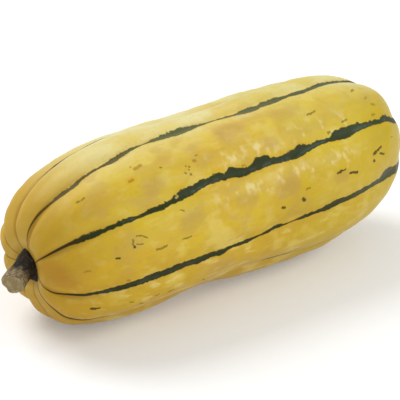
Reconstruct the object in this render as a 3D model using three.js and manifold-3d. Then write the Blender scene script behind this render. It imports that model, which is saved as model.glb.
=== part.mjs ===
// A delicata squash lying on its side: a long ribbed fruit with ten lengthwise furrows, and the
// woody five-ridged stalk it was cut by. Millimetres, +Z up. The fruit runs along X with its stalk
// towards -X, and it rests on its lowest rib, whose underside is worn flat in places.
import * as THREE from "three";
import { mergeVertices } from "three/addons/utils/BufferGeometryUtils.js";
import Module from "manifold-3d";

// ---- driving dimensions of the fruit ----
const FRUIT_LENGTH = 198; // pole to pole, before the poles are dimpled
const STALK_END_SHARE = 0.466; // share of that length on the stalk's side of the belly
const BELLY_RADIUS = 38.2; // to the rib crests
const BLOSSOM_SWELL = 3.1; // how much fuller the blossom half grows
const SWELL_FROM = -5; // where the swelling starts, along X
const SWELL_RUN = 80; // and how far it takes to grow
const STALK_END_SQUARENESS = 3.5; // superellipse exponents: 2 is an ellipse, more is blunter
const BLOSSOM_END_SQUARENESS = 3.1;
const SWAY = { cube: 5.1, square: -0.9, slope: 1.7 }; // height of the middle line, at 100 mm out
const FURROW_DEPTH = 2.2;
const SHOULDER_FURROW_DEPTH = 1.6; // added round the stalk-end shoulder
const SHOULDER_FURROW_RUN = 25; // along X
const RIB_ROUNDNESS = 2.2; // 2 is a parabola from furrow to furrow, more is flatter-topped
const FURROW_FADE_RADIUS = 22; // inside this radius the furrows run out towards the poles
const STALK_DIMPLE = { depth: 7, width: 13 };
const BLOSSOM_DIMPLE = { depth: 1.2, width: 6 };
const WAIST_DENT = { depth: 3.6, at: -22, run: 18, angle: -64, spread: 32 }; // in the lower flank
const RESTING_FLAT = 0.7; // how much of the lowest rib is worn away

// Each furrow's angle round the fruit in degrees, at the stalk end, the middle and the blossom end.
// 0 faces -Y, 90 is the top and -90 the bottom.
const FURROWS = [
  [-171, -176, -178],
  [-146, -143, -146],
  [-118, -108, -108],
  [-90, -72, -75],
  [-66, -43, -50],
  [-16, -7, -3.5],
  [35.5, 39.8, 41.5],
  [80.5, 84, 95],
  [129, 111, 122],
  [165, 149, 152],
];
const ANGLE_STATION = 85; // the end angles are those at this distance either side of the middle

// ---- driving dimensions of the stalk ----
const STALK_RIDGES = 5;
const STALK_RIDGE_TURN = 20; // degrees, which turns the ridges round the stalk
const STALK_RIDGE_HEIGHT = 0.16; // of the mean radius
const STALK_REACH = new THREE.Vector3(-13.3, -2.6, -4.9); // dimple's bottom to the cut's middle
const STALK_STRAIGHT = 6; // it leaves the dimple square to the fruit over about this length
const STALK_BURIED = 1.6; // how far the foot stands below the dimple's bottom
// Mean radius along the stalk: share of the way from foot to cut, and the radius there.
const STALK_OUTLINE = [
  [0, 7],
  [0.16, 6.6],
  [0.34, 5.2],
  [0.62, 4.4],
  [0.9, 4.5],
  [1, 4.1],
];
const CUT_RADIUS_INSIDE = 2.6; // the pith, inside the cut's rim
const CUT_HOLLOW = 0.7; // and how far it sinks
const GAP = 0.3; // between the stalk and the socket it grows from

// ---- mesh fineness ----
const RIB_STEPS = 8;
const RINGS = 40;
const STALK_STEPS_ROUND = 40;
const STALK_STEPS_ALONG = 9;

const RIBS = FURROWS.length;
const FULL_TURN = 360;
const STALK_HALF = FRUIT_LENGTH * STALK_END_SHARE;
const BLOSSOM_HALF = FRUIT_LENGTH - STALK_HALF;

const radians = THREE.MathUtils.degToRad;
const bell = (distance, width) => Math.exp(-((distance / width) ** 2));

// The furrow angle at x of furrow number k, which may run past either end of the list.
function furrowAngle(k, x) {
  const turns = Math.floor(k / RIBS);
  const [atStalk, atMiddle, atBlossom] = FURROWS[k - turns * RIBS];
  const t = THREE.MathUtils.clamp(x / ANGLE_STATION, -1, 1);
  const lean = ((atBlossom - atStalk) / 2) * t;
  const curve = ((atBlossom + atStalk) / 2 - atMiddle) * t * t;
  return atMiddle + lean + curve + turns * FULL_TURN;
}

// Superellipse meridian: polar 0 is the stalk pole and pi the blossom pole.
function meridian(polar) {
  const [c, s] = [Math.cos(polar), Math.sin(polar)];
  const squareness = c > 0 ? STALK_END_SQUARENESS : BLOSSOM_END_SQUARENESS;
  const reach = (Math.abs(c) ** squareness + Math.abs(s) ** squareness) ** (-1 / squareness);
  const x = -c * reach * (c > 0 ? STALK_HALF : BLOSSOM_HALF);
  const swell = BLOSSOM_SWELL * THREE.MathUtils.smoothstep(x, SWELL_FROM, SWELL_FROM + SWELL_RUN);
  return { x, radius: s * reach * (BELLY_RADIUS + swell) };
}

// Height of the fruit's middle line at x.
function sway(x) {
  const u = x / 100;
  return SWAY.cube * u ** 3 + SWAY.square * u ** 2 + SWAY.slope * u;
}

// How far the lower flank is dented at x and angle.
function waistDent(x, angle) {
  const { depth, at, run, spread } = WAIST_DENT;
  const turn = THREE.MathUtils.euclideanModulo(angle - WAIST_DENT.angle + 180, FULL_TURN) - 180;
  return depth * bell(x - at, run) * bell(turn, spread);
}

// A point of the skin: ribCoord counts furrows round the fruit, polar runs from pole to pole.
function skinPoint(ribCoord, polar) {
  const { x, radius } = meridian(polar);
  const furrow = Math.floor(ribCoord);
  const across = ribCoord - furrow;
  const start = furrowAngle(furrow, x);
  const angle = start + (furrowAngle(furrow + 1, x) - start) * across;
  const shoulder = SHOULDER_FURROW_DEPTH * bell(x + STALK_HALF, SHOULDER_FURROW_RUN);
  const furrowed = (FURROW_DEPTH + shoulder) * Math.abs(2 * across - 1) ** RIB_ROUNDNESS;
  const fade = Math.min(radius / FURROW_FADE_RADIUS, 1);
  const r = Math.max(radius - furrowed * fade - waistDent(x, angle), 0);
  const dimple =
    x < 0
      ? STALK_DIMPLE.depth * bell(r, STALK_DIMPLE.width)
      : -BLOSSOM_DIMPLE.depth * bell(r, BLOSSOM_DIMPLE.width);
  const turn = radians(angle);
  return new THREE.Vector3(x + dimple, -r * Math.cos(turn), sway(x) + r * Math.sin(turn));
}

// A unit sphere whose every vertex is carried to its place on the skin.
function fruitSkin() {
  const skin = new THREE.SphereGeometry(1, RIBS * RIB_STEPS, RINGS);
  const { position, uv } = skin.attributes;
  for (let i = 0; i < position.count; i++) {
    const polar = (1 - uv.getY(i)) * Math.PI;
    const pole = polar < 1e-6 || polar > Math.PI - 1e-6;
    const p = skinPoint(pole ? 0 : uv.getX(i) * RIBS, polar);
    position.setXYZ(i, p.x, p.y, p.z);
  }
  return skin;
}

// The stalk's middle line, from its buried foot, bending over to the cut.
function stalkLine() {
  const bottom = new THREE.Vector3(-STALK_HALF + STALK_DIMPLE.depth, 0, sway(-STALK_HALF));
  const foot = bottom.clone().setX(bottom.x + STALK_BURIED);
  const bend = bottom.clone().setX(bottom.x - STALK_STRAIGHT);
  return new THREE.QuadraticBezierCurve3(foot, bend, bottom.clone().add(STALK_REACH));
}

// The stalk with its surface moved out by grow: a lathed rod bent along its line and ridged.
function stalkSolid(grow) {
  const outline = new THREE.SplineCurve(STALK_OUTLINE.map(([at, r]) => new THREE.Vector2(r, at)));
  const profile = [new THREE.Vector2(0, 0)];
  for (const p of outline.getPoints(STALK_STEPS_ALONG)) profile.push(p);
  profile.push(new THREE.Vector2(CUT_RADIUS_INSIDE, 1), new THREE.Vector2(0, 1));
  const rod = new THREE.LatheGeometry(profile, STALK_STEPS_ROUND);
  const line = stalkLine();
  const { position } = rod.attributes;
  for (let i = 0; i < position.count; i++) {
    const round = Math.atan2(position.getZ(i), position.getX(i));
    const radius = Math.hypot(position.getX(i), position.getZ(i));
    const share = THREE.MathUtils.clamp(position.getY(i), 0, 1);
    const ridge =
      1 + STALK_RIDGE_HEIGHT * Math.cos(STALK_RIDGES * (round - radians(STALK_RIDGE_TURN)));
    const r = radius === 0 ? 0 : radius * ridge + grow;
    const hollow = share === 1 && radius <= CUT_RADIUS_INSIDE ? CUT_HOLLOW : 0;
    const ahead = line.getTangent(share);
    const side = new THREE.Vector3(0, 1, 0).addScaledVector(ahead, -ahead.y).normalize();
    const above = side.clone().cross(ahead);
    const ends = share === 0 ? -grow : share === 1 ? grow : 0;
    const p = line
      .getPoint(share)
      .addScaledVector(ahead, ends - hollow)
      .addScaledVector(side, r * Math.cos(round))
      .addScaledVector(above, r * Math.sin(round));
    position.setXYZ(i, p.x, p.y, p.z);
  }
  return rod;
}

// ---- cutting with manifold-3d ----
const wasm = await Module();
wasm.setup();

function toSolid(geometry) {
  const bare = geometry.clone();
  bare.deleteAttribute("normal");
  bare.deleteAttribute("uv");
  const merged = mergeVertices(bare, 1e-3);
  return new wasm.Manifold(
    new wasm.Mesh({
      numProp: 3,
      vertProperties: merged.attributes.position.array,
      triVerts: new Uint32Array(merged.index.array),
    }),
  );
}

function toGeometry(solid) {
  const mesh = solid.getMesh();
  const geometry = new THREE.BufferGeometry();
  geometry.setAttribute("position", new THREE.BufferAttribute(mesh.vertProperties, mesh.numProp));
  geometry.setIndex(new THREE.BufferAttribute(mesh.triVerts, 1));
  geometry.computeVertexNormals();
  return geometry;
}

// The skin with its socket for the stalk, and the lowest rib worn flat.
function fruitGeometry() {
  const skin = fruitSkin();
  skin.computeBoundingBox();
  const floor = skin.boundingBox.min.z + RESTING_FLAT;
  const worn = new THREE.BoxGeometry(2 * FRUIT_LENGTH, FRUIT_LENGTH, FRUIT_LENGTH);
  worn.translate(0, 0, floor - FRUIT_LENGTH / 2);
  return toGeometry(toSolid(skin).subtract(toSolid(stalkSolid(GAP))).subtract(toSolid(worn)));
}

const rind = new THREE.MeshStandardMaterial({ color: 0xd2b34d, roughness: 0.45, metalness: 0 });
const bark = new THREE.MeshStandardMaterial({ color: 0x6e5f4a, roughness: 0.85, metalness: 0 });

const fruit = new THREE.Mesh(fruitGeometry(), rind);
fruit.name = "fruit";
const stalk = new THREE.Mesh(stalkSolid(0), bark);
stalk.name = "stalk";

// The origin is under the middle of the whole squash, on the surface it lies on.
const squash = new THREE.Group().add(fruit, stalk);
const box = new THREE.Box3().setFromObject(squash);
squash.position.set(-(box.min.x + box.max.x) / 2, -(box.min.y + box.max.y) / 2, -box.min.z);

export default squash;
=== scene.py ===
"""A delicata squash lying on its side on a pale table.

The rind is one ribbed skin that Geometry Nodes grow from a few sizes, and the stalk is lofted along
its bent middle line. Places round the fruit are angles in degrees: 0 faces -Y, 90 is the top and
-90 the bottom. Places along it are millimetres from its waist, with the stalk's end negative.
"""

import math
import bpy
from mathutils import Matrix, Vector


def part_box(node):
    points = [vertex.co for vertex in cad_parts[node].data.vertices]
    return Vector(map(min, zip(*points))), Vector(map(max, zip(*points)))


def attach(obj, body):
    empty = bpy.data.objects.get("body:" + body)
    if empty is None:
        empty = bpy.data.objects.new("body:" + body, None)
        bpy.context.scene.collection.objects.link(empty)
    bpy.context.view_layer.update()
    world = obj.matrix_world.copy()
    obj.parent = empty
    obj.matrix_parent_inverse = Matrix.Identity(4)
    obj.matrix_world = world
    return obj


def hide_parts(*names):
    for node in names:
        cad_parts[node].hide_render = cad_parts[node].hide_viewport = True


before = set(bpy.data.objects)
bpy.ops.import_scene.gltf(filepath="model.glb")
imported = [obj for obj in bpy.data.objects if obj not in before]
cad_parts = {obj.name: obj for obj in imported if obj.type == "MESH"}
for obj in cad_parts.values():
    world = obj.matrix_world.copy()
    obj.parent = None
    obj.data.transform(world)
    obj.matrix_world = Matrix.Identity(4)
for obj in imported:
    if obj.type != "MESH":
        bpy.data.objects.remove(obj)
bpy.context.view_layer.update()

from types import SimpleNamespace

import bmesh
import bpy
from mathutils import Matrix, Vector

# ---- sizes, worked out from the frame ----

FRUIT_LOW, FRUIT_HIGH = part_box("fruit")
FRUIT_LENGTH = 194.7  # in millimetres: every size here is given for a fruit this long
MM = (FRUIT_HIGH.x - FRUIT_LOW.x) / FRUIT_LENGTH
WAIST_FROM_END = 89.44 * MM  # from the stalk's end of the fruit to its waist
WAIST_HEIGHT = 37.92 * MM  # of the fruit's middle line there
WAIST = Vector(
    (
        FRUIT_LOW.x + WAIST_FROM_END,
        (FRUIT_LOW.y + FRUIT_HIGH.y) / 2,
        FRUIT_LOW.z + WAIST_HEIGHT,
    )
)

STALK_HALF = 92.27 * MM  # from the waist to the stalk's pole
BLOSSOM_HALF = 105.73 * MM  # and to the blossom's
STALK_DIMPLE = 4.5 * MM  # how far the stalk's pole is sunk
POLE_DROP = 6.34 * MM  # how far the stalk's pole is below the waist
TIP_RISE = 6.82 * MM  # and how far the blossom's is above it
STALK_POLE = WAIST + Vector((STALK_DIMPLE - STALK_HALF, 0, -POLE_DROP))
BLOSSOM_POLE = WAIST + Vector((BLOSSOM_HALF, 0, TIP_RISE))

AROUND = 400  # faces round the fruit
ALONG = 246  # rows of points from pole to pole
ANGLE_STATION = 85 * MM  # how far from the waist the furrows reach their end angles
DEGREE_MM = 0.67  # length of one degree of the fruit's girth

# Each furrow, going round the fruit: its angle at the stalk end, the middle and the blossom end,
# and then the green stripe that follows it, as places along the fruit with how many degrees its
# lower and upper edges lie from the furrow there. Where the lower is above the upper, it is broken.
FURROWS = {
    "back": (
        (-175, -176, -178),
        [(-92, -0.6, 0.6), (-60, -1, 0.8), (-35, -1.5, 2), (-10, -2.2, 2.2), (12, -1, 1.6)]
        + [(40, -3, 2), (62, -2.2, 2.8), (85, -3, 3), (96, -4, 4), (104, -3, 3)],
    ),
    "lower back": (
        (-140, -143, -146),
        [(-92, -0.6, 0.6), (-70, -1.5, 1), (-48, -1.5, 1.5), (-20, -0.4, 0.8), (-5, -0.2, 0.4)]
        + [(20, -2, 1.8), (45, -1.2, 1.5), (75, -2.5, 2.8), (104, -3, 3)],
    ),
    "behind the bottom": (
        (-110, -108, -108),
        [(-92, -0.6, 0.6), (-66, -0.8, 1.2), (-40, -0.3, 0.2), (-20, 0.2, -0.3), (8, -1, 0.8)]
        + [(35, -1, 2), (60, -2, 1.4), (88, -2.5, 2), (104, -2, 2)],
    ),
    "before the bottom": (
        (-82, -72, -75),
        [(-92, -0.2, 0.2), (-74, -0.2, 0.2), (-60, -0.8, 0.8), (-45, -0.6, 0.6), (-20, 0.2, -0.2)]
        + [(5, -0.2, 0.2), (38, -1.2, 1), (60, -0.8, 1.4), (86, -2.6, 2), (104, -2, 2)],
    ),
    "lower front": (
        (-50, -42, -50),
        [(-92, -2, 0.5), (-88, -1.5, 1.5), (-84, -0.6, 3), (-76, 0.2, 4), (-66, 0.2, 3.6)]
        + [(-56, 0.2, 2.2), (-36, 0.2, 0.2), (0, 0.2, -0.2), (14, -0.3, 0.8), (28, -0.8, 0.8)]
        + [(45, -0.4, 0.6), (62, -1.4, 1.4), (80, -1.5, 2), (104, -2, 2)],
    ),
    "front": (
        (-16, -7, -3.5),
        [(-92, -3, -1.5), (-89, -2, 0), (-87, -0.5, 2), (-85, 0.2, 3.4), (-82, 0.2, 4)]
        + [(-76, 0.4, 4.4), (-71, -0.4, 5), (-66, -0.8, 5.4), (-54, -1, 5.8), (-40, -0.9, 5.1)]
        + [(-36, -0.9, 4.1), (-30, -2.5, 3), (-26, -1.8, 2.5), (-18, -3.1, 1.1), (-15, -1.7, 0.8)]
        + [(-6, -2.5, 0.5), (2, -1.4, 0.1), (6, -1.4, 1.1), (10, -0.7, 2.3), (14, -1, 1)]
        + [(18, -0.5, 0.3), (22, -0.4, 1.1), (26, -0.7, 2.3), (34, -0.6, 2.6), (38, -1.4, 3.5)]
        + [(47, -0.6, 4.6), (50, -0.5, 3.8), (54, -0.2, 4.9), (66, -0.5, 4.1), (70, -0.8, 4.2)]
        + [(74, -1.9, 2.8), (78, -3.2, 7.1), (82, -4, 5.5), (86, -5.5, 2.5), (90, -8.5, -0.5)]
        + [(94, -12, -3), (98, -12.5, -4.5), (102, -9, -2), (105.5, -5, 2)],
    ),
    "upper front": (
        (35.5, 39.8, 41.5),
        [(-92, -1, 1.5), (-88, -0.5, 2.3), (-84, -0.6, 2.9), (-80, -2, 2.7), (-74, -3.2, 1.8)]
        + [(-68, -3.1, 0.4), (-60, -3.5, 0), (-56, -3.8, -1.8), (-50, -4.3, -0.6), (-45, -4.8, -0.8)]
        + [(-40, -3.6, -0.1), (-36, -3.8, 2.2), (-30, -3.1, 2.9), (-25, -1.8, 3.7), (-20, -1, 4)]
        + [(-15, -1.7, 4.1), (-12, -2.1, 2.6), (-9, -2.5, 5.5), (-5, -4.1, 2.9), (0, -3.8, 1.7)]
        + [(3, -3.6, 3.1), (6, -3.5, 5), (10, -3.1, 4.4), (14, -3.5, 1.7), (18, -4.1, 0.6)]
        + [(22, -4.5, 1), (26, -4.9, 2.4), (30, -3.9, 3.3), (35, -2.8, 1.7), (40, -1.9, 2.1)]
        + [(46, -2, 1), (50, -2.6, 3.4), (54, -3.4, 4.3), (58, -3.4, 3.8), (62, -2.5, 4.2)]
        + [(66, -2, 4), (70, -1.6, 2.6), (76, -1.9, 2.1), (82, -3, 1.5), (86, -3, 3)]
        + [(90, -5, 2), (94, -7.5, -0.5), (104, -9.5, -3.5)],
    ),
    "top": (
        (80.5, 84, 95),
        [(-92, 4, 6), (-90, 3, 5), (-88, 2.1, 4.3), (-86, 1, 3.5), (-84, 0, 2.5), (-82, -1.5, 1.5)]
        + [(-78, -4, 0.5), (-74, -4.5, 0.5), (-66, -2.3, 0.7), (-57, -2.5, 0.5), (-54, -4.1, 0.9)]
        + [(-51, -3.2, 1.3), (-47, -1.8, 2.1), (-42, -0.5, 1.7), (-38, 0.3, 1.4), (-34, 0.1, 1.6)]
        + [(-31, -0.8, 2.7), (-26, -1.5, 2.8), (-18, -2.5, 3.6), (-14, -1.4, 3.1), (-6, -0.2, 1.8)]
        + [(-2, 0, 1.3), (2, -0.7, 0.7), (6, -2.4, 0.4), (12, -4, -0.8), (18, -6.7, 0.3)]
        + [(23, -7.2, 0.3), (25, -5.5, -1.5), (28, -6.8, 0.2), (38, -7, 0), (41, -6.9, -2.4)]
        + [(48, -8.4, -2.8), (55, -8.4, -2.3), (62, -7.6, 0), (70, -8, 1), (78, -8.4, 1.2)]
        + [(84, -7.8, 2.2), (90, -5, 5), (96, -2, 8), (104, 0, 9)],
    ),
    "upper back": (
        (118, 106, 122),
        [(-92, -0.3, 0.3), (-80, -0.3, 0.3), (-75, -0.3, 0.9), (-67, -0.6, 2), (-60, -0.2, 0.8)]
        + [(-56, 0, 0.4), (-50, -0.4, 1.6), (-44, -0.3, 1), (-38, 0.3, -0.3), (-28, 0.2, 0)]
        + [(-12, 0.2, 0), (6, 0.2, -0.1), (26, 0.2, 0), (48, -2.4, 3), (70, -1, 1.6)]
        + [(88, -2.4, 2.8), (104, -2, 2)],
    ),
    "high on the back": (
        (157, 149, 152),
        [(-92, -0.9, 0.9), (-78, -1.4, 1), (-55, -1, 1.6), (-30, -2.4, 1.8), (-8, -1, 1)]
        + [(16, -2.6, 2.8), (38, -0.8, 1.4), (60, -2.8, 2.6), (84, -2, 3), (104, -3, 3)],
    ),
}
RIBS = len(FURROWS)
FURROW_ANGLES = [angles for angles, stripe in FURROWS.values()]
STRIPES = [stripe for angles, stripe in FURROWS.values()]
EDGE_REACH = 30.0  # the degrees from the furrow that the edge curves call 0 and 1
ANGLE_START, ANGLE_SPAN = -180, 400  # the angle that the angle curves call 0, and how far 1 is

# Small natural marks: where each stroke starts and ends, along and round, and its half width in mm.
DARK_MARKS = [
    (-69.8, 14.2, -68.6, 13.8, 0.5),
    (-77.6, -25.5, -76.8, -25.6, 0.8),
    (-76.6, -25.4, -75.0, -25.1, 0.45),
    (-62.0, 17.5, -61.9, 17.3, 0.5),
    (12.0, 8.8, 13.3, 8.0, 0.55),
    (23.0, 10.1, 24.0, 9.0, 0.7),
    (68.8, 20.7, 70.3, 21.3, 0.75),
    (70.3, 21.3, 75.2, 23.0, 0.5),
    (73.3, 18.9, 76.6, 16.7, 0.45),
    (68.2, 16.2, 68.5, 15.8, 0.6),
    (43.6, 18.6, 46.2, 19.0, 0.5),
    (46.2, 19.0, 48.6, 19.0, 0.3),
    (50.8, 15.6, 55.8, 14.3, 0.5),
]
OLIVE_MARKS = [
    (-53.0, 11.1, -48.0, 10.8, 0.5),
    (-40.2, 11.3, -36.2, 11.1, 0.35),
    (-60.2, 23.7, -57.6, 22.3, 0.35),
    (-57.6, 22.3, -56.2, 20.3, 0.35),
    (-61.9, 22.2, -62.4, 19.4, 0.4),
    (-62.4, 19.4, -62.0, 17.6, 0.35),
    (-60.7, 18.7, -58.4, 17.2, 0.3),
    (-38.6, 29.2, -37.0, 28.0, 0.3),
    (-27.3, 52.7, -27.1, 52.5, 0.45),
    (-28.1, 51.0, -27.9, 51.0, 0.45),
    (-28.1, 47.8, -27.7, 47.8, 0.5),
    (-30.1, 49.7, -29.9, 49.4, 0.45),
    (-28.7, 53.8, -28.6, 53.6, 0.35),
    (-39.3, 58.4, -39.0, 58.2, 0.4),
    (-75.9, 61.8, -75.2, 61.8, 0.5),
    (-74.0, 61.8, -73.3, 62.0, 0.5),
    (41.2, 60.8, 46.0, 61.8, 0.5),
    (73.6, 69.2, 75.5, 70.6, 0.65),
    (57.6, 48.9, 61.0, 49.7, 0.45),
    (47.2, 45.0, 48.6, 45.3, 0.6),
    (-62.6, -24.5, -61.4, -25.2, 0.35),
    (-57.3, -29.2, -55.4, -30.3, 0.4),
    (-50.8, -25.3, -49.4, -24.8, 0.4),
    (-44.6, -25.7, -42.0, -25.4, 0.4),
    (-26.6, -27.0, -25.2, -28.7, 0.4),
    (-20.0, -41.6, -19.2, -43.0, 0.45),
    (-18.4, -45.5, -17.2, -46.3, 0.45),
    (25.2, 15.5, 27.4, 15.7, 0.4),
    (85.0, 25.4, 87.0, 25.2, 0.3),
]
BROWN_MARKS = [
    (-81.5, 10.8, -79.8, 10.2, 0.45),
    (-64.9, -5.0, -64.3, -5.8, 0.65),
    (-49.4, 64.1, -48.2, 64.5, 0.75),
    (-47.6, 64.4, -46.3, 65.2, 0.75),
    (-50.4, 66.6, -50.2, 66.7, 0.4),
    (-54.3, 57.5, -52.9, 57.9, 0.7),
    (-24.2, 55.4, -23.2, 55.0, 0.65),
    (-22.0, 58.0, -21.2, 58.3, 0.4),
    (77.8, 47.2, 79.5, 47.3, 0.7),
    (78.0, 60.7, 79.5, 61.5, 0.55),
    (80.3, 55.1, 82.3, 54.5, 0.65),
    (-56.0, -36.5, -55.0, -37.6, 0.7),
    (22.4, 41.7, 24.0, 42.1, 0.5),
    (-2.5, 42.9, -1.0, 42.7, 0.5),
]
ORANGE_MARKS = [
    (-76.0, 10.2, -72.0, 9.8, 0.9),
    (-35.8, 11.0, -33.0, 10.3, 0.5),
    (-60.0, 11.3, -55.0, 11.2, 0.6),
    (-54.5, 57.6, -52.5, 57.9, 1.4),
    (82.5, 37.4, 85.6, 36.6, 0.9),
    (-13.5, 36.7, -9.5, 36.2, 0.7),
    (-17.0, 45.6, -14.0, 45.0, 0.6),
    (18.3, 42.6, 20.2, 42.2, 0.6),
    (46.5, 38.9, 52.5, 37.8, 0.6),
    (-35.5, 42.3, -33.0, 42.4, 0.6),
    (86.0, 62.5, 90.0, 62.5, 1.0),
    (81.0, 49.0, 85.0, 49.0, 0.9),
]
TAN_PATCHES = [
    (-3.0, 67.0, 3.0, 69.0, 4.0),
    (27.0, 66.0, 33.0, 67.0, 3.5),
    (13.0, 20.0, 18.0, 21.0, 4.0),
    (-37.0, 19.0, -32.0, 21.0, 3.5),
    (-9.0, 22.0, -4.0, 21.0, 3.0),
    (-48.0, 49.0, -44.0, 50.0, 3.5),
    (14.0, 51.0, 17.0, 50.0, 2.5),
    (44.0, 16.0, 48.0, 15.0, 2.5),
    (-22.0, -22.0, -15.0, -20.0, 3.5),
]
BLUSH = [
    (-91.0, 25.0, -89.5, 14.0, 3.0),
    (-89.0, 8.0, -86.8, 0.0, 3.0),
]
PALE_MARKS = [
    (-37.8, 37.5, -36.8, 37.7, 0.42),
]


# ---- short ways of adding nodes ----


class Field:
    """A number that nodes work out, which can stand in sums."""

    def __init__(self, tree, socket):
        self.tree, self.socket = tree, socket

    def math(self, operation, *others):
        return number(self.tree, operation, self, *others)

    def __add__(self, other):
        return self.math("ADD", other)

    def __sub__(self, other):
        return self.math("SUBTRACT", other)

    def __rsub__(self, other):
        return number(self.tree, "SUBTRACT", other, self)

    def __mul__(self, other):
        return self.math("MULTIPLY", other)

    def __truediv__(self, other):
        return self.math("DIVIDE", other)

    def __pow__(self, other):
        return self.math("POWER", other)

    def __abs__(self):
        return self.math("ABSOLUTE")

    __radd__, __rmul__ = __add__, __mul__


def bare(value):
    return value.socket if isinstance(value, Field) else value


def add_node(tree, kind, inputs=(), **settings):
    """A new node with its settings made and its inputs linked or filled in."""
    node = tree.nodes.new(kind)
    for name, value in settings.items():
        setattr(node, name, value)
    for key, value in dict(inputs).items():
        value = bare(value)
        if isinstance(value, bpy.types.NodeSocket):
            tree.links.new(value, node.inputs[key])
        else:
            node.inputs[key].default_value = value
    return node


def number(tree, operation, *values):
    node = add_node(tree, "ShaderNodeMath", enumerate(values), operation=operation)
    return Field(tree, node.outputs[0])


def bell(distance, width):
    """1 at no distance, falling away smoothly over the width."""
    ratio = distance / width
    return number(ratio.tree, "EXPONENT", ratio * ratio * -1)


def curve(tree, at, points, handle="AUTO"):
    """A drawn curve through the points, both ways from 0 to 1."""
    node = add_node(tree, "ShaderNodeFloatCurve", {"Value": at})
    line = node.mapping.curves[0]
    while len(line.points) < len(points):
        line.points.new(0.5, 0.5)
    for spot, place in zip(line.points, points):
        spot.location = place
        spot.handle_type = handle
    node.mapping.update()
    return Field(tree, node.outputs[0])


def ease(value, low, high, start=0.0, end=1.0):
    """Runs smoothly from start to end as value goes from low to high."""
    inputs = {"Value": value, "From Min": low, "From Max": high, "To Min": start, "To Max": end}
    node = add_node(value.tree, "ShaderNodeMapRange", inputs, interpolation_type="SMOOTHSTEP")
    return Field(value.tree, node.outputs[0])


def noise_field(tree, here, size, detail, roughness=0.5, seed=0.0, stretch=1.0):
    """Noise about 0 with lumps so many millimetres across, and stretched along the fruit."""
    scale = (1 / (size * MM * stretch), 1 / (size * MM), 1 / (size * MM))
    inputs = {0: here, 1: scale, 2: (seed, seed, seed)}
    spaced = add_node(tree, "ShaderNodeVectorMath", inputs, operation="MULTIPLY_ADD")
    inputs = {"Vector": spaced.outputs[0], "Scale": 1.0, "Detail": detail, "Roughness": roughness}
    return Field(tree, add_node(tree, "ShaderNodeTexNoise", inputs).outputs[0]) - 0.5


def distance_from(tree, here, place):
    node = add_node(tree, "ShaderNodeVectorMath", {0: here, 1: place}, operation="DISTANCE")
    return Field(tree, node.outputs["Value"])


def turned_from(angle, other):
    """How far round an angle is from another, from -180 to 180."""
    return (angle - other).math("WRAP", 180.0, -180.0)


def patch(along, angle, middle, run, turn, spread):
    """1 at a place on the skin, falling away along the fruit and round it."""
    return bell(turned_from(angle, turn), spread) * bell(along - middle, run)


# ---- the fruit's skin, grown by Geometry Nodes ----

SKIN_SIZES = {
    "Stalk half": STALK_HALF,
    "Blossom half": BLOSSOM_HALF,
    "Belly radius": 38.2 * MM,
    "Blossom swell": 3.1 * MM,
    "Stalk squareness": 3.5,
    "Blossom squareness": 3.1,
    "Furrow depth": 2.2 * MM,
    "Shoulder furrow depth": 1.6 * MM,
    "Furrow softness": 0.1,
    "Rib roundness": 2.2,
    "Stalk dimple": STALK_DIMPLE,
    "Blossom dimple": 1.2 * MM,
    "Waist dent": 3.3 * MM,
    "Lump height": 1.2 * MM,
    "Knob height": 0.5 * MM,
    "Pucker height": 0.16 * MM,
}
SWELL_FROM, SWELL_TO = -5 * MM, 75 * MM  # where the blossom half grows fuller
SHOULDER_RUN = 25 * MM  # how far the deeper furrows of the stalk's shoulder run
FADE_RADIUS = 22 * MM  # inside this radius the furrows run out towards the poles
STALK_DIMPLE_WIDTH = 10 * MM
BLOSSOM_DIMPLE_WIDTH = 6 * MM
CLEAR_OF_STALK = (6 * MM, 16 * MM)  # lumps grow in between these distances from the stalk's pole
WORN_EDGE = 0.6 * MM  # how softly the worn flat meets the rib
SEAM_GAP = 0.001 * MM  # points closer than this are joined

# Places on the skin: the middle and run along it, then the angle and spread round it.
DENTED_WAIST = (-17.5 * MM, 17 * MM, -64, 32.0)
# Where the furrows are shallower, and by what share.
SHALLOW_FURROWS = [
    (-80 * MM, 26 * MM, -70, 45.0, 0.95),
    (-50 * MM, 45 * MM, 110, 28.0, 0.55),
    (100 * MM, 18 * MM, 12, 42.0, 0.6),
]
# Neither end is quite square: places that lie nearer the stalk's end, and by how much.
SKEWED_ENDS = [
    (-STALK_HALF, 20 * MM, 150, 40.0, 1.4 * MM),
    (-STALK_HALF, 8.5 * MM, -80, 42.0, -5 * MM),
    (BLOSSOM_HALF, 17 * MM, -45, 45.0, -1.8 * MM),
    (BLOSSOM_HALF, 17 * MM, 30, 30.0, 0.7 * MM),
]
# The skin's unevenness: which height, its size in mm, its seed and its stretch along the fruit.
UNEVENNESS = [
    ("Lump height", 34, 3.1, 1.3),
    ("Knob height", 12, 7.7, 1.0),
    ("Pucker height", 5, 2.3, 1.0),
]


def meridian(size, polar):
    """A superellipse blunter at one end: how far along it is and how far out, pole to pole."""
    c = polar.math("COSINE")
    s = polar.math("SINE").math("MAXIMUM", 0.0)
    stalk_side = c.math("GREATER_THAN", 0.0)
    square, blunt = size["Blossom squareness"], size["Stalk squareness"]
    squareness = square + stalk_side * (blunt - square)
    half = size["Blossom half"] + stalk_side * (size["Stalk half"] - size["Blossom half"])
    root = number(polar.tree, "DIVIDE", -1.0, squareness)
    reach = (abs(c) ** squareness + s**squareness) ** root
    along = c * reach * half * -1
    swell = ease(along, SWELL_FROM, SWELL_TO) * size["Blossom swell"]
    return along, s * reach * (size["Belly radius"] + swell)


def sway(along):
    """Height of the fruit's middle line."""
    u = along / (100 * MM)
    return (u * u * u * 5.1 - u * u * 0.9 + u * 1.7) * MM


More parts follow.
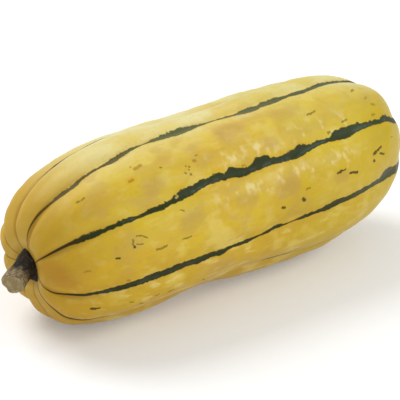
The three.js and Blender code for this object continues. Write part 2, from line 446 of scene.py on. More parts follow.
def skin_angle(tree, round_share, station):
    """The angle that the ribs give a share of the way round, at a station from -1 to 1."""
    angles = []
    for end in range(3):
        turns = [angle[end] for angle in FURROW_ANGLES] + [FURROW_ANGLES[0][end] + 360]
        points = [(k / RIBS, (turn - ANGLE_START) / ANGLE_SPAN) for k, turn in enumerate(turns)]
        angles.append(curve(tree, round_share, points, "VECTOR"))
    stalk, middle, blossom = angles
    lean = (blossom - stalk) * station / 2
    bend = ((blossom + stalk) / 2 - middle) * station * station
    return (middle + lean + bend) * ANGLE_SPAN + ANGLE_START


def furrow_share(size, from_furrow):
    """1 in a furrow and 0 on the rib's crest, with the furrow's bottom a little rounded."""
    soft = size["Furrow softness"]
    rise = (from_furrow * from_furrow + soft * soft).math("SQRT") - soft
    crest = (soft * soft + 1).math("SQRT") - soft
    return (1 - rise / crest).math("MAXIMUM", 0.0) ** size["Rib roundness"]


def furrow_depth(size, along, angle):
    shoulder = bell(along + STALK_HALF, SHOULDER_RUN) * size["Shoulder furrow depth"]
    shallow = sum(patch(along, angle, *place) * share for *place, share in SHALLOW_FURROWS)
    return (size["Furrow depth"] + shoulder) * (1 - shallow)


def stripe_edge(tree, furrow, along, edge):
    """Degrees from the nearest furrow to its stripe's edge, 1 for the lower and 2 for the upper."""
    length = STALK_HALF + BLOSSOM_HALF
    share = (along + STALK_HALF) / length
    switch = add_node(tree, "GeometryNodeIndexSwitch", {0: furrow}, data_type="FLOAT")
    while len(switch.index_switch_items) < RIBS + 1:
        switch.index_switch_items.new()
    for k in range(RIBS + 1):
        points = []
        for stop in STRIPES[k % RIBS]:
            along_share = (stop[0] * MM + STALK_HALF) / length
            points.append((along_share, 0.5 + stop[edge] / EDGE_REACH / 2))
        tree.links.new(bare(curve(tree, share, points)), switch.inputs[k + 1])
    return (Field(tree, switch.outputs[0]) - 0.5) * (EDGE_REACH * 2)


def skin_place(size, along, angle, radius, furrow):
    """Where a point of the skin stands, and its distance from the middle line."""
    tree = along.tree
    fade = (radius / FADE_RADIUS).math("MINIMUM", 1.0)
    dent = patch(along, angle, *DENTED_WAIST) * size["Waist dent"]
    sunk = furrow * furrow_depth(size, along, angle) * fade
    r = (radius - sunk - dent).math("MAXIMUM", 0.0)
    skew = sum(patch(along, angle, *place) * by for *place, by in SKEWED_ENDS) * fade
    stalk_end, blossom_end = along.math("LESS_THAN", 0.0), along.math("GREATER_THAN", 0.0)
    dimple = bell(r, STALK_DIMPLE_WIDTH) * size["Stalk dimple"] * stalk_end
    dimple = dimple - bell(r, BLOSSOM_DIMPLE_WIDTH) * size["Blossom dimple"] * blossom_end
    turn = angle.math("RADIANS")
    place = {
        0: along + dimple - skew + WAIST.x,
        1: r * turn.math("COSINE") * -1 + WAIST.y,
        2: sway(along) + r * turn.math("SINE") + WAIST.z,
    }
    return add_node(tree, "ShaderNodeCombineXYZ", place).outputs[0], r


def with_stored(tree, geometry, guides):
    """The geometry with each guide stored on its points, for its finish to follow."""
    for name, value in guides.items():
        inputs = {"Geometry": geometry, "Name": name, "Value": value}
        kind = "GeometryNodeStoreNamedAttribute"
        geometry = add_node(tree, kind, inputs, data_type="FLOAT", domain="POINT").outputs[0]
    return geometry


def uneven(tree, geometry, size):
    """Lumps, knobs and puckers, grown along the skin's own normals."""
    here = tree.nodes.new("GeometryNodeInputPosition").outputs[0]
    normal = tree.nodes.new("GeometryNodeInputNormal").outputs[0]
    height = sum(
        noise_field(tree, here, across, 1.0, seed=seed, stretch=stretch) * size[name]
        for name, across, seed, stretch in UNEVENNESS
    )
    clear = ease(distance_from(tree, here, STALK_POLE), *CLEAR_OF_STALK)
    inputs = {0: normal, "Scale": height * 2 * clear}
    push = add_node(tree, "ShaderNodeVectorMath", inputs, operation="SCALE").outputs[0]
    inputs = {"Geometry": geometry, "Offset": push}
    return add_node(tree, "GeometryNodeSetPosition", inputs).outputs[0]


def worn_flat(tree, geometry):
    """The lowest rib is worn flat where it bears on the table."""
    here = tree.nodes.new("GeometryNodeInputPosition").outputs[0]
    x, y, z = add_node(tree, "ShaderNodeSeparateXYZ", {0: here}).outputs
    worn = Field(tree, z).math("SMOOTH_MAX", FRUIT_LOW.z, WORN_EDGE)
    level = add_node(tree, "ShaderNodeCombineXYZ", {0: x, 1: y, 2: worn}).outputs[0]
    inputs = {"Geometry": geometry, "Position": level}
    return add_node(tree, "GeometryNodeSetPosition", inputs).outputs[0]


def skin_inputs(tree):
    """Makes the tree's sockets, and returns its sizes as fields and the rind's socket."""
    tree.interface.new_socket("Geometry", in_out="OUTPUT", socket_type="NodeSocketGeometry")
    for name in SKIN_SIZES:
        tree.interface.new_socket(name, in_out="INPUT", socket_type="NodeSocketFloat")
    for name in ("Around", "Along"):
        tree.interface.new_socket(name, in_out="INPUT", socket_type="NodeSocketInt")
    tree.interface.new_socket("Rind", in_out="INPUT", socket_type="NodeSocketMaterial")
    entry = tree.nodes.new("NodeGroupInput")
    size = {name: Field(tree, entry.outputs[name]) for name in [*SKIN_SIZES, "Around", "Along"]}
    return size, entry.outputs["Rind"]


def flat_sheet(tree, size):
    """A sheet, the share of the way round the fruit across it, and the angle from pole to pole."""
    inputs = {"Size X": 1.0, "Size Y": 1.0}
    inputs |= {"Vertices X": size["Around"] + 1, "Vertices Y": size["Along"]}
    sheet = add_node(tree, "GeometryNodeMeshGrid", inputs).outputs[0]
    here = tree.nodes.new("GeometryNodeInputPosition").outputs[0]
    place = add_node(tree, "ShaderNodeSeparateXYZ", {0: here}).outputs
    return sheet, Field(tree, place[0]) + 0.5, (Field(tree, place[1]) + 0.5) * math.pi


def finished(tree, geometry, rind):
    """The tree's output: smooth, real and with its material."""
    smooth = add_node(tree, "GeometryNodeSetShadeSmooth", {"Geometry": geometry}).outputs[0]
    real = add_node(tree, "GeometryNodeRealizeInstances", {0: smooth}).outputs[0]
    finish = add_node(tree, "GeometryNodeSetMaterial", {"Geometry": real, "Material": rind})
    tree.links.new(finish.outputs[0], tree.nodes.new("NodeGroupOutput").inputs[0])


def skin_tree():
    """The node tree that grows the ribbed skin and stores what its finish follows."""
    tree = bpy.data.node_groups.new("ribbed_skin", "GeometryNodeTree")
    size, rind = skin_inputs(tree)
    sheet, round_share, polar = flat_sheet(tree, size)
    along, radius = meridian(size, polar)
    station = (along / ANGLE_STATION).math("MAXIMUM", -1).math("MINIMUM", 1)
    angle = skin_angle(tree, round_share, station)
    across = (round_share * RIBS).math("FRACT")
    from_furrow = 1 - abs(across * 2 - 1)
    place, r = skin_place(size, along, angle, radius, furrow_share(size, from_furrow))

    # What the finish follows, in millimetres and degrees.
    nearest = (round_share * RIBS).math("ROUND")
    turned = angle - skin_angle(tree, nearest / RIBS, station)
    to_mm = (r / MM).math("RADIANS")
    guides = {
        "along_mm": along / MM,
        "angle": angle,
        "crest": from_furrow,
        "above_low_mm": (turned - stripe_edge(tree, nearest, along, 1)) * to_mm,
        "below_high_mm": (stripe_edge(tree, nearest, along, 2) - turned) * to_mm,
    }
    inputs = {"Geometry": with_stored(tree, sheet, guides), "Position": place}
    grown = add_node(tree, "GeometryNodeSetPosition", inputs).outputs[0]
    inputs = {"Geometry": grown, "Distance": SEAM_GAP}
    closed = add_node(tree, "GeometryNodeMergeByDistance", inputs).outputs[0]
    finished(tree, worn_flat(tree, uneven(tree, closed, size)), rind)
    return tree


def new_piece(name, data):
    piece = bpy.data.objects.new(name, data)
    bpy.context.scene.collection.objects.link(piece)
    return piece


def plain_mesh(name, tree, values):
    """Runs a tree on an empty object and returns what it makes as a plain mesh object."""
    seed = new_piece(name + "_seed", bpy.data.meshes.new(name + "_seed"))
    modifier = seed.modifiers.new("grow", "NODES")
    modifier.node_group = tree
    for item in tree.interface.items_tree:
        if item.in_out == "INPUT" and item.name in values:
            modifier[item.identifier] = values[item.name]
    view = bpy.context.evaluated_depsgraph_get()
    grown = seed.evaluated_get(view)
    mesh = bpy.data.meshes.new_from_object(grown, preserve_all_data_layers=True, depsgraph=view)
    seed.modifiers.remove(modifier)
    bpy.data.objects.remove(seed)
    mesh.name = name
    if mesh.materials[0] is None:
        mesh.materials.pop(index=0)
    return new_piece(name, mesh)


# ---- materials ----


def colour(red, green, blue):
    """A colour given as it looks on a screen, from 0 to 255, made linear."""
    linear = []
    for level in (red / 255, green / 255, blue / 255):
        linear.append(level / 12.92 if level <= 0.04045 else ((level + 0.055) / 1.055) ** 2.4)
    return (*linear, 1.0)


GROUND = {
    "straw": colour(208, 172, 50),
    "yellow": colour(211, 182, 56),
    # the rind's deeper gold, also laid on as painted shade on the lower side
    "deep gold": colour(190, 148, 34),
    "tan": colour(194, 162, 82),
    "cream": colour(222, 200, 104),
    "lemon": colour(213, 184, 34),
    "pale straw": colour(226, 204, 124),
    "honey": colour(192, 152, 42),
    "mustard": colour(184, 155, 6),
    # a painted pale sheen: the bright sky reflecting on the upper ribs
    "painted top sheen": colour(222, 213, 152),
    "sand": colour(180, 142, 52),
    "dull tan": colour(192, 158, 72),
    "amber": colour(192, 149, 38),
    "greenish": colour(196, 184, 52),
    "dark gold": colour(172, 134, 10),
    "glint": colour(232, 212, 150),
    "stripe's fringe": colour(202, 152, 22),
    "stalk's rim": colour(214, 178, 84),
    # painted shade for the furrows near the stalk
    "crease shade": colour(140, 96, 14),
}
STRIPE = {
    "olive edge": colour(82, 74, 12),
    "dark green": colour(42, 51, 16),
    "blue sheen": colour(64, 80, 70),
    "brown": colour(62, 40, 6),
    "black green": colour(38, 40, 4),
    "dark olive": colour(60, 48, 8),
    "pale green": colour(84, 104, 66),
    "olive": colour(70, 66, 0),
    "sheen grey green": colour(124, 126, 80),
    "sheen grey brown": colour(108, 88, 24),
}
MARK = {
    "tan": colour(180, 144, 78),
    "blush": colour(180, 118, 36),
    "orange": colour(214, 162, 20),
    "brown": colour(154, 106, 10),
    "olive": colour(104, 86, 10),
    "dark halo": colour(128, 108, 30),
    "dark": colour(66, 54, 4),
    "pale": colour(176, 152, 72),
    "scar": colour(150, 122, 74),
    "pale scar": colour(184, 158, 104),
}
WOOD = {
    "bark": colour(30, 22, 14),
    "pale bark": colour(54, 44, 28),
    "dust": colour(104, 98, 80),
    "grey": colour(108, 92, 66),
    "pale grey": colour(158, 142, 108),
    "pith": colour(146, 128, 86),
    "pale pith": colour(174, 156, 116),
    "pith fleck": colour(104, 92, 52),
}
TABLE_GREY = (0.86, 0.86, 0.86, 1)
WHITE = (1, 1, 1, 1)

# The rind's noises: size in mm, detail, roughness, seed and stretch along the fruit.
RIND_NOISES = {
    "broad": (26, 2.0, 0.5, 1.3, 1.4),
    "cloud": (11, 2.5, 0.5, 5.2, 1.3),
    "dab": (8, 2.5, 0.5, 11.9, 1.3),
    "streak": (3.2, 2.0, 0.5, 8.1, 3.2),
    "facet": (3.6, 2.0, 0.5, 4.6, 0.8),
    "ripple": (5, 1.0, 0.5, 6.3, 0.85),
    "fine": (1.5, 3.0, 0.6, 9.4, 1.0),
    "torn": (2.5, 2.0, 0.55, 2.2, 1.0),
    "drift": (1.7, 2.0, 0.5, 3.9, 1.0),
    "grain": (0.9, 2.0, 0.6, 12.7, 1.0),
}
GLINT_ANGLES = (27, 50)  # the glints lie in bands on either side of the upper front furrow
FRONT_RIB, TOP_RIB = 7, 68  # the angles of the middles of two ribs
STALK_RIM, STALK_RIM_WIDTH = 10.5 * MM, 2.2 * MM  # the pale rim's distance from the stalk's pole
SCAR_EDGE = (6.5 * MM, 4.5 * MM)  # from the blossom's pole to the outside and inside of its edge
GUARD = 9  # in mm: what keeps a stripe from showing halfway between two furrows


def mixed(share, first, second):
    """first where share is 0 and second where it is 1."""
    inputs = {0: share, 6: first, 7: second}
    return add_node(share.tree, "ShaderNodeMix", inputs, data_type="RGBA").outputs[2]


def laid_over(tone, washes):
    """The tone with each wash laid over the last, as strongly as its share says."""
    for share, wash in washes:
        tone = mixed(share, tone, wash)
    return tone


def attribute(tree, name):
    return Field(tree, add_node(tree, "ShaderNodeAttribute", attribute_name=name).outputs["Fac"])


def new_material(name):
    material = bpy.data.materials.new(name)
    material.use_nodes = True
    tree = material.node_tree
    shader = tree.nodes["Principled BSDF"]
    position = add_node(tree, "ShaderNodeTexCoord").outputs["Object"]
    return material, tree, shader, position


def link_bump(tree, shader, height, strength, distance):
    inputs = {"Strength": strength, "Distance": distance, "Height": height}
    bump = add_node(tree, "ShaderNodeBump", inputs)
    tree.links.new(bump.outputs[0], shader.inputs["Normal"])


def stroke_group():
    """A soft-edged stroke between two places, for marks on the skin."""
    tree = bpy.data.node_groups.new("stroke", "ShaderNodeTree")
    for name in ("Here", "Start", "End"):
        tree.interface.new_socket(name, in_out="INPUT", socket_type="NodeSocketVector")
    tree.interface.new_socket("Half width", in_out="INPUT", socket_type="NodeSocketFloat")
    tree.interface.new_socket("Mask", in_out="OUTPUT", socket_type="NodeSocketFloat")
    entry = tree.nodes.new("NodeGroupInput")
    here, start, end, half = entry.outputs[:4]

    def vector(operation, *values, out=0):
        node = add_node(tree, "ShaderNodeVectorMath", enumerate(values), operation=operation)
        return node.outputs[out]

    line = vector("SUBTRACT", end, start)
    from_start = vector("SUBTRACT", here, start)
    reached = Field(tree, vector("DOT_PRODUCT", from_start, line, out=1))
    share = (reached / Field(tree, vector("DOT_PRODUCT", line, line, out=1))).math("MAXIMUM", 0.0)
    inputs = {0: line, "Scale": share.math("MINIMUM", 1.0)}
    foot = add_node(tree, "ShaderNodeVectorMath", inputs, operation="SCALE").outputs[0]
    away = Field(tree, vector("LENGTH", vector("SUBTRACT", from_start, foot), out=1))
    mask = ease(away / Field(tree, half), 1.7, 0.4)
    tree.links.new(bare(mask), tree.nodes.new("NodeGroupOutput").inputs[0])
    return tree


def strokes(group, place, marks):
    """The mask of all the marks together."""
    total = None
    for along, angle, to_along, to_angle, half in marks:
        inputs = {
            "Here": place,
            "Start": (along, angle * DEGREE_MM, 0),
            "End": (to_along, to_angle * DEGREE_MM, 0),
            "Half width": half,
        }
        node = add_node(place.tree, "ShaderNodeGroup", inputs, node_tree=group)
        mask = Field(place.tree, node.outputs[0])
        total = mask if total is None else total.math("MAXIMUM", mask)
    return total


def rind_guides(tree, here):
    """What the rind's finish follows: its place on the fruit, its noises and its two ends."""
    guides = SimpleNamespace()
    for name, (size, detail, roughness, seed, stretch) in RIND_NOISES.items():
        setattr(guides, name, noise_field(tree, here, size, detail, roughness, seed, stretch))
    guides.along = attribute(tree, "along_mm")
    guides.angle = attribute(tree, "angle")
    guides.crest = attribute(tree, "crest")
    guides.low_edge = attribute(tree, "above_low_mm")
    guides.high_edge = attribute(tree, "below_high_mm")
    guides.stalk_end = ease(guides.along, -56.0, -92.0)
    guides.ragged = guides.torn * 1.6 + guides.fine * 0.8
    middle = ease(guides.along, -30.0, -10.0) * ease(guides.along, 72.0, 50.0)
    guides.glints = sum(bell(guides.angle - band, 7.0) for band in GLINT_ANGLES) * middle
    return guides


def ground_tone(on):
    """The yellow ground: painted sheen on top, partly painted shade below, tan clouds, lemon dabs,
    pale glints.

    Each share eases over places along the fruit, angles round it or the levels of a noise.
    """
    along, angle = on.along, on.angle
    front = ease(angle, -12.0, 10.0, 0.3, 1.0)
    lower_flank = ease(angle, 5.0, -15.0, 0.2, 0.56)
    # the blossom end is washed darker mustard, most on its lower side: partly its own tone, partly
    # painted shade
    blossom_end = ease(along, 50.0, 92.0, 0.0, 0.75) * ease(angle, 70.0, 40.0, 0.6, 1.15)
    # where the painted pale sheen lies on the upper ribs
    top = ease(angle, 50.0, 98.0) * ease(angle, 175.0, 130.0) * ease(along, -84.0, -38.0, 0.4, 1.0)
    front_rib = bell(angle - FRONT_RIB, 20.0) * ease(along, -12.0, 20.0, 0.0, 0.28)
    washes = [
        # deeper gold towards the bottom: partly the rind's own gold, partly painted shade
        (ease(angle, 24.0, -12.0, 0.0, 0.6), GROUND["deep gold"]),
        (ease(on.cloud, 0.0, 0.16, 0.0, 0.5), GROUND["tan"]),
        (ease(on.cloud, -0.02, -0.18, 0.0, 0.55), GROUND["cream"]),
        (ease(on.dab, 0.0, 0.16, 0.0, 0.55) * front, GROUND["lemon"]),
        (ease(on.streak, 0.04, 0.2) * lower_flank, GROUND["pale straw"]),
        (ease(on.streak, -0.06, -0.2) * lower_flank, GROUND["honey"]),
        (blossom_end, GROUND["mustard"]),
        (ease(on.broad + on.cloud, -0.2, 0.16, 0.4, 0.95) * top, GROUND["painted top sheen"]),
        (ease(on.fine, 0.0, 0.25, 0.0, 0.2), GROUND["sand"]),
        (ease(on.dab, 0.0, -0.14, 0.0, 0.5) * bell(angle - TOP_RIB, 12.0), GROUND["dull tan"]),
        (ease(angle, 30.0, 110.0, 0.72, 0.82) * on.stalk_end, GROUND["amber"]),
        (ease(along, 0.0, 40.0, 0.0, 0.22), GROUND["greenish"]),
        (front_rib, GROUND["dark gold"]),
        (ease(on.ripple + on.facet * 0.7, 0.0, 0.3, 0.0, 0.7) * on.glints, GROUND["glint"]),
    ]
    plain = mixed(ease(on.broad, -0.12, 0.12), GROUND["straw"], GROUND["yellow"])
    return laid_over(plain, washes)


def stripe_depth(on):
    """How many millimetres inside a stripe a place is: ragged above and smoother below."""
    width = on.low_edge + on.high_edge
    ends = ease(on.along, -86.0, -74.0, 0.15, 1.0) * ease(on.along, 105.0, 101.0, 0.3, 1.0)
    ragged = on.ragged * ends * (1 - ease(width, 2.6, 0.6, 0.0, 1.0) * 0.75)
    inside = (on.low_edge + ragged * 0.8).math("MINIMUM", on.high_edge + ragged * 1.3)
    return inside - ease(on.crest, 0.8, 0.95) * GUARD


def stripe_mask(on, deep):
    """1 in a stripe, and less in the hairlines of the hidden side by the stalk."""
    hidden_side = ease(abs(on.angle - 20), 80.0, 95.0)
    hairline = ease(on.low_edge + on.high_edge, 0.9, 0.4) * on.stalk_end * hidden_side
    return ease(deep, -0.15, 0.2) * (1 - hairline * 0.8)


def stripe_tone(on, deep):
    """Dark green with an olive edge: brown by the stalk, with a painted grey sheen where it is high
    up.
    """
    along, angle = on.along, on.angle
    sheen = ease(on.dab + on.facet * 0.5, -0.05, 0.12) * ease(on.low_edge, 2.6, 0.7)
    # high on the fruit the stripes are greyed: a painted sheen for the light glancing off them
    painted_sheen_high_up = ease(angle, 62.0, 78.0) * ease(along, 70.0, 0.0, 0.2, 0.5)
    painted_sheen_high_up = painted_sheen_high_up + ease(angle, 98.0, 104.0, 0.0, 0.25)
    grey = mixed(ease(along, -35.0, -60.0), STRIPE["sheen grey green"], STRIPE["sheen grey brown"])
    washes = [
        (sheen * ease(deep, 0.3, 0.9), STRIPE["blue sheen"]),
        (ease(along, -72.0, -90.0), STRIPE["brown"]),
        (ease(angle, 20.0, 8.0, 0.0, 0.5), STRIPE["black green"]),
        (ease(angle, -28.0, -36.0) * ease(along, -40.0, -60.0), STRIPE["dark olive"]),
        (ease(along, 40.0, 70.0, 0.0, 0.16), STRIPE["pale green"]),
        (ease(angle, 14.0, 5.0) * ease(along, 30.0, 50.0, 0.0, 0.35), STRIPE["olive"]),
        (painted_sheen_high_up, grey),
    ]
    plain = mixed(ease(deep, 0.05, 0.6), STRIPE["olive edge"], STRIPE["dark green"])
    return laid_over(plain, washes)


def rind_washes(on, here, deep, mask):
    """What lies over the ground: the two ends, the blotches, the stripes and the small marks."""
    tree = on.along.tree
    wander = {0: on.along + on.ragged * 0.5, 1: on.angle * DEGREE_MM + on.drift * 1.3}
    place = Field(tree, add_node(tree, "ShaderNodeCombineXYZ", wander).outputs[0])
    group = stroke_group()
    brown, olive, dark = (
        strokes(group, place, marks) for marks in (BROWN_MARKS, OLIVE_MARKS, DARK_MARKS)
    )
    grain = on.grain * 2.2
    fringe = ease(deep, -1.5, 0.0) * ease(on.cloud, -0.04, 0.12)
    rim = bell(distance_from(tree, here, STALK_POLE) - STALK_RIM, STALK_RIM_WIDTH)
    scar = ease(distance_from(tree, here, BLOSSOM_POLE) + on.fine * 4 * MM, *SCAR_EDGE)
    return [
        (fringe * 0.45, GROUND["stripe's fringe"]),
        (rim * 0.5, GROUND["stalk's rim"]),
        # painted shade: the furrows near the stalk are darkened
        (ease(on.crest, 0.28, 0.0, 0.0, 0.55) * on.stalk_end, GROUND["crease shade"]),
        (strokes(group, place, TAN_PATCHES) * 0.4, MARK["tan"]),
        (strokes(group, place, BLUSH) * 0.4, MARK["blush"]),
        (strokes(group, place, ORANGE_MARKS) * 0.45, MARK["orange"]),
        (ease(brown * (grain + 1), 0.1, 1.0) * 0.6, MARK["brown"]),
        (ease(olive * (grain + 1), 0.1, 1.0) * 0.7, MARK["olive"]),
        (mask, stripe_tone(on, deep)),
        (ease(dark, 0.0, 0.5) * 0.4, MARK["dark halo"]),
        (ease(dark * (grain * 0.8 + 1), 0.2, 0.85) * 0.88, MARK["dark"]),
        (strokes(group, place, PALE_MARKS), MARK["pale"]),
        (scar, mixed(ease(on.fine, -0.1, 0.15), MARK["scar"], MARK["pale scar"])),
    ]


def rind_material():
    material, tree, shader, here = new_material("rind")
    on = rind_guides(tree, here)
    deep = stripe_depth(on)
    mask = stripe_mask(on, deep)
    tone = laid_over(ground_tone(on), rind_washes(on, here, deep, mask))
    tree.links.new(tone, shader.inputs["Base Color"])
    roughness = ease(on.cloud, -0.15, 0.2, 0.34, 0.46) + mask * 0.1 + on.stalk_end * 0.2
    tree.links.new(bare(roughness), shader.inputs["Roughness"])
    link_bump(tree, shader, on.fine * 0.3 + on.facet + on.ripple * on.glints, 0.3, 0.4 * MM)
    shader.inputs["Specular IOR Level"].default_value = 0.17
    shader.inputs["Sheen Weight"].default_value = 0.02
    shader.inputs["Sheen Roughness"].default_value = 0.35
    return material


def stalk_material():
    material, tree, shader, here = new_material("stalk_wood")
    rough = noise_field(tree, here, 2.6, 4.0, 0.6, seed=1.9)
    fleck = noise_field(tree, here, 0.9, 2.0, 0.6, seed=6.1)
    share, cut = attribute(tree, "stalk_share"), attribute(tree, "cut")
    bark = mixed(ease(rough, -0.1, 0.15), WOOD["bark"], WOOD["pale bark"])
    grey = mixed(ease(fleck, -0.1, 0.2), WOOD["grey"], WOOD["pale grey"])
    pith = mixed(ease(rough, -0.1, 0.12), WOOD["pith"], WOOD["pale pith"])
    washes = [
        (ease(fleck, 0.1, 0.24, 0.0, 0.6), WOOD["dust"]),
        (ease(share + rough * 0.9, 0.55, 0.88), grey),
        (cut * 0.8, mixed(ease(fleck, 0.1, 0.25, 0.0, 0.5), pith, WOOD["pith fleck"])),
    ]
    tree.links.new(laid_over(bark, washes), shader.inputs["Base Color"])
    shader.inputs["Roughness"].default_value = 0.75
    shader.inputs["Specular IOR Level"].default_value = 0.25
    link_bump(tree, shader, rough + fleck * 0.4, 0.6, 0.5 * MM)
    return material


# ---- the stalk ----

# Spokes round the stalk: angle, then radius in mm at the foot and at the cut. The long ones at the
# foot are its ridges.
STALK_SPOKES = [
    (-150, 5.6, 3.6),
    (-118, 7.2, 4.7),
    (-88, 6.6, 4.4),
    (-60, 7.6, 4.2),
    (-35, 15.5, 4.8),
    (-8, 7.2, 4.5),
    (30, 5.0, 4.6),
    (72, 5.2, 4.1),
    (106, 7.8, 4.2),
    (138, 6.4, 5.0),
    (172, 7.6, 4.4),
]
FOOT_BURIED = Vector((1.2, 0, 0)) * MM  # from the dimple's bottom to the stalk's foot
STALK_BEND = Vector((-5, -0.6, 0)) * MM  # to the place that the stalk bends towards
STALK_REACH = Vector((-11.2, -3.5, -3.8)) * MM  # and to the cut's middle
CUT_FACING = Vector((-0.76, -0.62, -0.19))
CUT_HOLLOW = 0.7 * MM  # how far the cut's middle is sunk
CUT_RINGS = [0.97, 0.9, 0.75, 0.55, 0.35, 0.15]  # of the cut's radius
STALK_STEPS = 60
STALK_SIDES = 144
SLIM_FROM, SLIM_RUN = 0.1, 0.5  # shares of the stalk over which it slims from foot to cut
NECK, NECK_AT, NECK_RUN = 0.1, 0.5, 0.25  # how much narrower it is midway, and over what share


def spoke_radius(angle, which):
    """Radius at an angle, easing from spoke to spoke."""
    for k, spoke in enumerate(STALK_SPOKES):
        after = STALK_SPOKES[(k + 1) % len(STALK_SPOKES)]
        gap = (after[0] - spoke[0]) % 360
        step = (angle - spoke[0]) % 360
        if step <= gap:
            share = (1 - math.cos(math.pi * step / gap)) / 2
            return (spoke[which] * (1 - share) + after[which] * share) * MM
    return 0.0


def stalk_radius(angle, share):
    """Radius at an angle, a share of the way from the foot to the cut."""
    slim = min(max(share - SLIM_FROM, 0) / SLIM_RUN, 1.0)
    slim = slim * slim * (3 - 2 * slim)
    neck = 1 - NECK * math.exp(-(((share - NECK_AT) / NECK_RUN) ** 2))
    return (spoke_radius(angle, 1) * (1 - slim) + spoke_radius(angle, 2) * slim) * neck


def stalk_place(share):
    """The stalk's middle there, and the directions ahead, sideways and up across it."""
    foot, bend, end = STALK_POLE + FOOT_BURIED, STALK_POLE + STALK_BEND, STALK_POLE + STALK_REACH
    middle = foot * (1 - share) ** 2 + bend * 2 * share * (1 - share) + end * share**2
    ahead = ((bend - foot) * (1 - share) + (end - bend) * share).normalized()
    ahead = ahead.lerp(CUT_FACING, share * share).normalized()
    side = (Vector((0, -1, 0)) + ahead * ahead.y).normalized()
    above = side.cross(ahead)
    return middle, ahead, side, above if above.z > 0 else -above


def stalk_piece():
    """The woody stalk: ridged rings along a bent line, closed by the cut."""
    rings = [(k / STALK_STEPS, 1.0) for k in range(STALK_STEPS + 1)]
    rings += [(1.0, inset) for inset in CUT_RINGS]
    mesh = bmesh.new()
    share_layer = mesh.verts.layers.float.new("stalk_share")
    cut_layer = mesh.verts.layers.float.new("cut")
    loops = []
    for share, inset in rings:
        middle, ahead, side, above = stalk_place(share)
        middle = middle - ahead * (CUT_HOLLOW * (1 - inset))
        loop = []
        for j in range(STALK_SIDES):
            angle = 360 * j / STALK_SIDES
            turn = math.radians(angle)
            around = side * math.cos(turn) + above * math.sin(turn)
            vertex = mesh.verts.new(middle + around * (stalk_radius(angle, share) * inset))
            vertex[share_layer] = share
            vertex[cut_layer] = 1.0 if inset < 1 else 0.0
            loop.append(vertex)
        loops.append(loop)
    for first, second in zip(loops, loops[1:]):
        for j in range(STALK_SIDES):
            k = (j + 1) % STALK_SIDES
            mesh.faces.new((first[j], first[k], second[k], second[j]))
    mesh.faces.new(loops[0])
    mesh.faces.new(loops[-1])
    for face in mesh.faces:
        face.smooth = True
    bmesh.ops.recalc_face_normals(mesh, faces=mesh.faces)
    data = bpy.data.meshes.new("stalk_wood")
    mesh.to_mesh(data)
    mesh.free()
    data.materials.append(stalk_material())
    return new_piece("stalk_wood", data)


# ---- the pieces ----

values = {**SKIN_SIZES, "Around": AROUND, "Along": ALONG, "Rind": rind_material()}
skin = plain_mesh("fruit_skin", skin_tree(), values)
stalk = stalk_piece()
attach(skin, "root")
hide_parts("fruit")
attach(stalk, "root")
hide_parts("stalk")


# ---- table, light and camera ----

TABLE_HALF = 6.0  # metres, from the middle to each side
TABLE_GLOW = (0.16, 0.7)  # how much whiter it is seen near the squash and far from it
TABLE_GLOW_RUN = (0.25, 1.2)  # in metres from the middle, where that is reached
SKY_LIGHT = 0.47  # the strength that lights the squash; the sky itself is seen white
# Each lamp: the direction it stands in, its distance from the waist, its width and its power, in
# metres and watts.
LAMPS = {
    "overhead": ((-0.2, 0.6, 0.8), 1.1, 0.8, 8.6),
    "front_fill": ((0.1, -0.9, 0.35), 1.1, 0.8, 3.0),
    "window": ((0.565, -0.563, 0.602), 0.9, 0.3, 1.9),
}
CAMERA_AZIMUTH, CAMERA_ELEVATION, CAMERA_PITCH = -39.3, 26.8, 2.63  # degrees
CAMERA_DISTANCE = 579.4 * MM  # from the waist
CAMERA_LENS, CAMERA_SENSOR = 120.1, 36  # millimetres
CAMERA_SHIFT = (-0.0075, -0.0095)  # right and up, as shares of the view


def table_material():
    """Pale and dull, and seen as white further out."""
    material, tree, shader, here = new_material("pale_table")
    shader.inputs["Base Color"].default_value = TABLE_GREY
    shader.inputs["Roughness"].default_value = 0.9
    shader.inputs["Specular IOR Level"].default_value = 0.1
    shader.inputs["Emission Color"].default_value = WHITE
    rays = tree.nodes.new("ShaderNodeLightPath")
    seen = Field(tree, rays.outputs["Is Camera Ray"])
    seen = seen.math("MAXIMUM", Field(tree, rays.outputs["Is Glossy Ray"]))
    length = add_node(tree, "ShaderNodeVectorMath", {0: here}, operation="LENGTH")
    glow = seen * ease(Field(tree, length.outputs["Value"]), *TABLE_GLOW_RUN, *TABLE_GLOW)
    tree.links.new(bare(glow), shader.inputs["Emission Strength"])
    return material


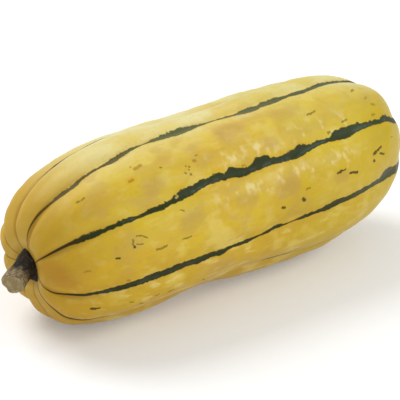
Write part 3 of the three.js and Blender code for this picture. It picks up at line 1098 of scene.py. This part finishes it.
def table():
    """One flat face, which keeps the squash's shadow."""
    reach = TABLE_HALF
    corners = [(-reach, -reach, 0), (reach, -reach, 0), (reach, reach, 0), (-reach, reach, 0)]
    mesh = bpy.data.meshes.new("table")
    mesh.from_pydata(corners, [], [(0, 1, 2, 3)])
    mesh.materials.append(table_material())
    return new_piece("table", mesh)


def studio_world():
    """An even sky, seen as white."""
    sky = bpy.data.worlds.new("studio")
    bpy.context.scene.world = sky
    sky.use_nodes = True
    tree = sky.node_tree
    seen = Field(tree, tree.nodes.new("ShaderNodeLightPath").outputs["Is Camera Ray"])
    back = tree.nodes["Background"]
    back.inputs["Color"].default_value = WHITE
    tree.links.new(bare(seen * (1 - SKY_LIGHT) + SKY_LIGHT), back.inputs["Strength"])


def softbox(name, direction, distance, width, power):
    lamp = bpy.data.lights.new(name, "AREA")
    lamp.shape = "DISK"
    lamp.size = width
    lamp.energy = power
    away = Vector(direction).normalized()
    piece = new_piece(name, lamp)
    piece.location = WAIST + away * distance
    piece.rotation_mode = "QUATERNION"
    piece.rotation_quaternion = away.to_track_quat("Z", "Y")


def camera():
    """The camera stands off the waist, and leans with the squash lying on its flat."""
    azimuth, elevation = math.radians(CAMERA_AZIMUTH), math.radians(CAMERA_ELEVATION)
    level = math.cos(elevation)
    back = Vector((math.sin(azimuth) * level, -math.cos(azimuth) * level, math.sin(elevation)))
    right = Vector((math.cos(azimuth), math.sin(azimuth), 0))
    tilt = Matrix.Rotation(-math.radians(CAMERA_PITCH), 3, "Y")
    back, right = tilt @ back, tilt @ right
    lens = bpy.data.cameras.new("camera")
    lens.lens = CAMERA_LENS
    lens.sensor_width = CAMERA_SENSOR
    lens.shift_x, lens.shift_y = CAMERA_SHIFT
    piece = new_piece("camera", lens)
    turn = Matrix((right, back.cross(right), back)).transposed()
    piece.matrix_world = Matrix.Translation(WAIST + back * CAMERA_DISTANCE) @ turn.to_4x4()
    bpy.context.scene.camera = piece


table()
studio_world()
for name, placing in LAMPS.items():
    softbox(name, *placing)
camera()
bpy.context.scene.view_settings.view_transform = "Standard"
